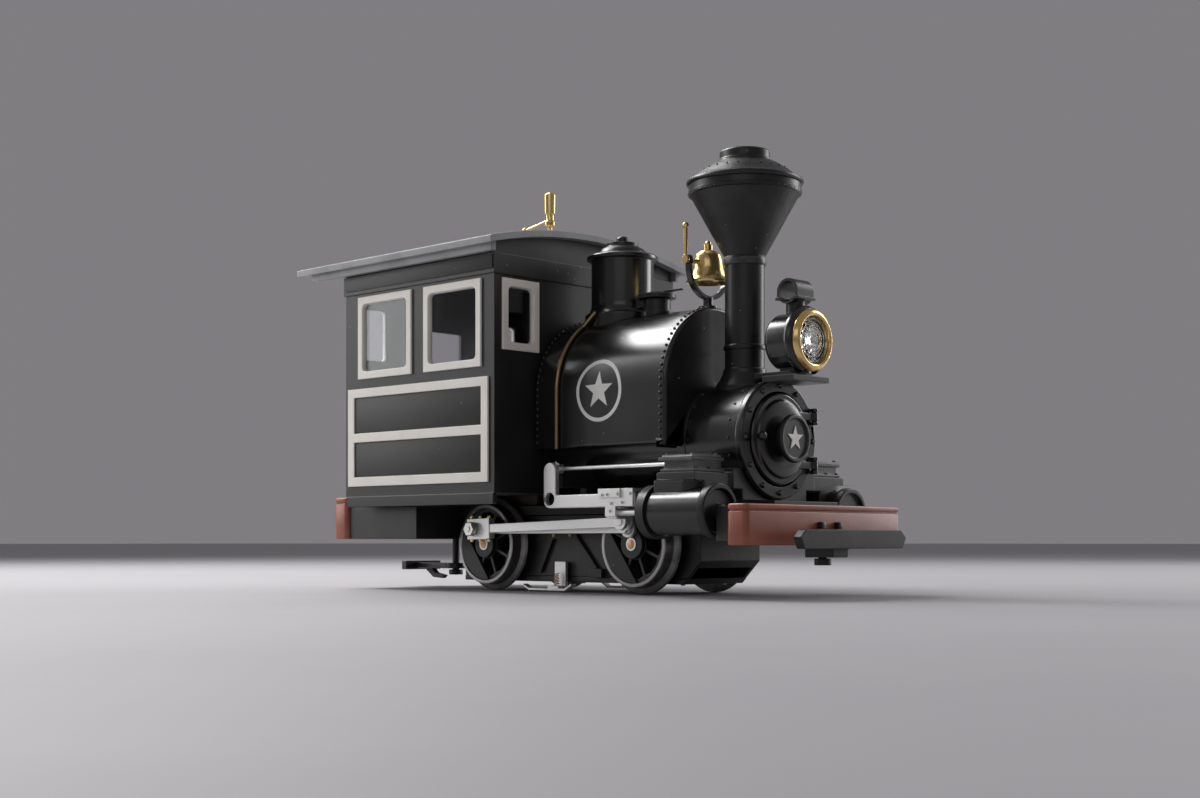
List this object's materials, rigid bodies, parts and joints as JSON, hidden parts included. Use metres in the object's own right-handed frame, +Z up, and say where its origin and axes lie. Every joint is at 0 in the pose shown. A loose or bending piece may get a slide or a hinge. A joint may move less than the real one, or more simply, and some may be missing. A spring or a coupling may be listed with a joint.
{
  "type": "model steam locomotive",
  "caption": "Four-wheeled saddle-tank model steam locomotive with closed cab, diamond-style chimney, headlamp, bell and working rods, for 45 mm track.",
  "frame": {"origin": "centre of the whole model's box at table height, under the wheel flanges", "axes": "+X forward to the smokebox end, +Y to the left side, +Z up"},
  "size_m": [0.2508, 0.1122, 0.164],
  "materials": {
    "black_satin": "satin",
    "black_gloss": "gloss",
    "black_metal": "satin",
    "grey_worn": "satin",
    "beam_red": "satin",
    "nickel": "satin",
    "tyre_nickel": "gloss",
    "brass": "gloss",
    "copper": "satin",
    "white_trim": "satin",
    "window_clear": "gloss",
    "lens_clear": "gloss",
    "roof_grey": "satin",
    "floor_brown": "matte",
    "pipe_brown": "satin"
  },
  "bodies": {
    "root": {"chassis_frame": "black_satin", "motor_block": "black_satin", "bottom_cover": "black_satin", "motor_can": "nickel", "brake_rigging": "black_satin", "buffer_beams": "beam_red", "coupler_pins": "black_metal", "cylinders": "black_satin", "cylinder_covers": "black_satin", "cylinder_saddle": "black_satin", "steam_chests": "grey_worn", "guide_bars": "nickel", "boiler": "black_satin", "smokebox_barrel": "black_gloss", "smokebox_ring": "black_gloss", "saddle_tank": "black_gloss", "steam_dome": "black_gloss", "dome_cap": "black_gloss", "side_pipes": "pipe_brown", "filler_neck": "black_gloss", "bell_stand": "black_metal", "stack_pipe": "black_satin", "stack_cone": "black_satin", "stack_cap": "black_gloss", "lamp_platform": "black_satin", "lamp_body": "black_gloss", "lamp_bezel": "brass", "lamp_lens": "lens_clear", "lamp_bulb": "lens_clear", "lamp_chimney": "black_satin", "cab_body": "black_satin", "cab_floor": "floor_brown", "cab_roof": "roof_grey", "window_frames": "white_trim", "window_glass": "window_clear", "panel_frames": "white_trim", "backhead": "black_satin", "whistle": "brass"},
    "front_wheelset": {"front_axle": "nickel", "front_wheel_centres": "black_satin", "front_tyres": "tyre_nickel"},
    "rear_wheelset": {"rear_axle": "nickel", "rear_wheel_centres": "black_satin", "rear_tyres": "tyre_nickel"},
    "side_rod_r": {"side_rod_right": "nickel"},
    "side_rod_l": {"side_rod_left": "nickel"},
    "main_rod_r": {"main_rod_right": "nickel"},
    "main_rod_l": {"main_rod_left": "nickel"},
    "crosshead_r": {"crosshead_right": "nickel"},
    "crosshead_l": {"crosshead_left": "nickel"},
    "armature_body": {"armature": "copper"},
    "bell_body": {"bell": "brass"},
    "clapper": {"bell_clapper": "brass"},
    "door": {"smokebox_door": "black_gloss", "number_plate": "black_gloss"},
    "lid": {"filler_lid": "black_gloss"},
    "coupler_front": {"front_coupler": "black_satin"},
    "coupler_rear": {"rear_coupler": "black_satin"},
    "shoe_r": {"pickup_shoe_right": "nickel"},
    "shoe_l": {"pickup_shoe_left": "nickel"}
  },
  "joints": [
    {"name": "front_axle_spin", "type": "hinge", "parent": "root", "child": "front_wheelset", "pos_m": [0.04385, 0, 0.0189], "axis": [0, 1, 0], "continuous": true},
    {"name": "rear_axle_spin", "type": "hinge", "parent": "root", "child": "rear_wheelset", "pos_m": [-0.03765, 0, 0.0189], "axis": [0, 1, 0], "continuous": true},
    {"name": "side_rod_right_pin", "type": "hinge", "parent": "rear_wheelset", "child": "side_rod_r", "pos_m": [-0.03765, -0.0286, 0.0249], "axis": [0, 1, 0], "continuous": true},
    {"name": "side_rod_left_pin", "type": "hinge", "parent": "rear_wheelset", "child": "side_rod_l", "pos_m": [-0.04365, 0.0286, 0.0189], "axis": [0, 1, 0], "continuous": true},
    {"name": "main_rod_right_pin", "type": "hinge", "parent": "rear_wheelset", "child": "main_rod_r", "pos_m": [-0.03765, -0.032, 0.0249], "axis": [0, 1, 0], "continuous": true},
    {"name": "main_rod_left_pin", "type": "hinge", "parent": "rear_wheelset", "child": "main_rod_l", "pos_m": [-0.04365, 0.032, 0.0189], "axis": [0, 1, 0], "continuous": true},
    {"name": "crosshead_right_slide", "type": "slide", "parent": "root", "child": "crosshead_r", "axis": [1, 0, 0], "range_m": [-0.0063, 0.0055]},
    {"name": "crosshead_left_slide", "type": "slide", "parent": "root", "child": "crosshead_l", "axis": [1, 0, 0], "range_m": [0, 0.0118]},
    {"name": "armature_spin", "type": "hinge", "parent": "root", "child": "armature_body", "pos_m": [0.0031, 0, 0.0265], "axis": [1, 0, 0], "continuous": true},
    {"name": "bell_swing", "type": "hinge", "parent": "root", "child": "bell_body", "pos_m": [0.0581, 0, 0.1247], "axis": [0, 1, 0], "range_deg": [-20, 20]},
    {"name": "clapper_swing", "type": "hinge", "parent": "bell_body", "child": "clapper", "pos_m": [0.0581, 0, 0.1274], "axis": [0, 1, 0], "range_deg": [-12, 12]},
    {"name": "smokebox_door_hinge", "type": "hinge", "parent": "root", "child": "door", "pos_m": [0.0936, 0.0188, 0.057], "axis": [0, 0, 1], "range_deg": [0, 100]},
    {"name": "filler_lid_hinge", "type": "hinge", "parent": "root", "child": "lid", "pos_m": [0.0281, -0.0031, 0.1136], "axis": [0, -1, 0], "range_deg": [0, 75]},
    {"name": "front_coupler_swivel", "type": "hinge", "parent": "root", "child": "coupler_front", "pos_m": [0.1112, 0, 0.016], "axis": [0, 0, 1], "range_deg": [-9, 9]},
    {"name": "rear_coupler_swivel", "type": "hinge", "parent": "root", "child": "coupler_rear", "pos_m": [-0.086, 0, 0.009], "axis": [0, 0, 1], "range_deg": [-12, 12]},
    {"name": "pickup_right_spring", "type": "slide", "parent": "root", "child": "shoe_r", "axis": [0, 0, 1], "range_m": [0, 0.0015], "stiffness_N_per_m": 150, "springref_m": -0.002},
    {"name": "pickup_left_spring", "type": "slide", "parent": "root", "child": "shoe_l", "axis": [0, 0, 1], "range_m": [0, 0.0015], "stiffness_N_per_m": 150, "springref_m": -0.002}
  ],
  "couplings": [
    {"joint": "rear_axle_spin", "follows": "front_axle_spin", "ratio": 1},
    {"joint": "side_rod_right_pin", "follows": "front_axle_spin", "ratio": -1},
    {"joint": "side_rod_left_pin", "follows": "front_axle_spin", "ratio": -1},
    {"joint": "main_rod_right_pin", "follows": "front_axle_spin", "ratio": -1},
    {"joint": "main_rod_left_pin", "follows": "front_axle_spin", "ratio": -1}
  ]
}
